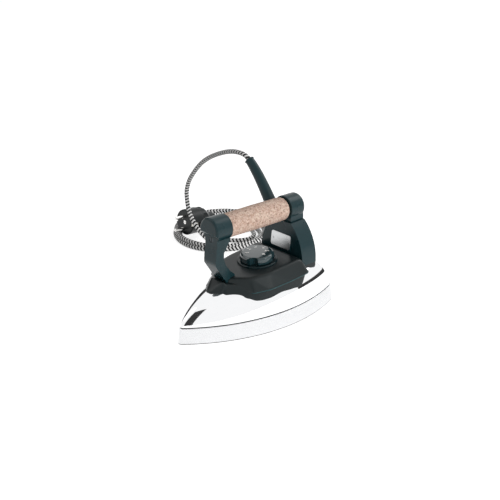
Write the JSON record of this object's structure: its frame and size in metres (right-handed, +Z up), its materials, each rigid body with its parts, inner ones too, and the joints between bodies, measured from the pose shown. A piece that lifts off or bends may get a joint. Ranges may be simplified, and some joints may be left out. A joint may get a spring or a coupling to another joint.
{
  "type": "clothes iron",
  "caption": "Heavy dry iron with a chromed cover, an upright black body, a cork grip on two posts, a thermostat dial and a braided lead with a round plug.",
  "frame": {"origin": "on the floor under the middle of the sole", "axes": "+Z up, -Y towards the tip of the sole, +X to the iron's left side as its user stands behind it"},
  "size_m": [0.3705, 0.3635, 0.1888],
  "materials": {
    "sole_alloy": "satin",
    "cast_alloy": "rough cast",
    "element_sheath": "matt",
    "insulator": "matt",
    "steel": "satin",
    "gasket": "matt",
    "chrome": "mirror polished",
    "mica": "matt",
    "phenolic": "satin gloss",
    "knob": "gloss",
    "ring": "satin gloss",
    "cork": "sanded cork",
    "plate": "brushed, bare",
    "brass": "turned",
    "fuse": "gloss",
    "live": "matt",
    "earth": "matt",
    "gland": "matt",
    "sleeve": "satin",
    "braid": "woven black and white",
    "plug": "matt",
    "pins": "nickel plated",
    "clips": "nickel plated"
  },
  "bodies": {
    "iron": {"soleplate": "sole_alloy", "heating_element": "element_sheath", "element_insulators": "insulator", "element_pins": "steel", "ballast_plate": "cast_alloy", "studs": "steel", "stud_nuts": "steel", "seam_gasket": "gasket", "chrome_cover": "chrome", "insulation_plate": "mica", "skirt": "phenolic", "deck_housing": "phenolic", "front_post": "phenolic", "front_bracket": "steel", "post_screw": "steel", "rear_post": "phenolic", "rear_bracket": "steel", "terminal_cover": "phenolic", "terminal_cover_screws": "steel", "front_cap": "phenolic", "rear_cap": "phenolic", "cork_grip": "cork", "grip_tube": "steel", "tie_rod": "steel", "rod_nut": "steel", "rating_plate": "plate", "plate_rivets": "plate", "dial_ring": "ring", "thermostat_bush": "brass", "thermostat_bracket": "steel", "thermostat_body": "insulator", "bimetal_blade": "brass", "thermal_fuse": "fuse", "terminal_block": "insulator", "terminal_screws": "brass", "live_wires": "live", "earth_wire": "earth", "cord_clamp": "cast_alloy", "cord_inner": "gland", "cord_gland": "gland", "cord_sleeve": "sleeve", "cord_arc": "braid", "cord_coil": "braid", "cord_tail": "braid", "plug_body": "plug", "plug_cap": "plug", "plug_pins": "pins", "plug_earth_clips": "clips", "plug_screw": "pins"},
    "dial": {"dial_knob": "knob", "knob_clip": "steel", "thermostat_spindle": "brass"}
  },
  "joints": [
    {"name": "dial_turn", "type": "hinge", "parent": "iron", "child": "dial", "pos_m": [0, 0.0172, 0.075], "axis": [0, -0.061, 0.9981], "range_deg": [-135, 135]}
  ]
}
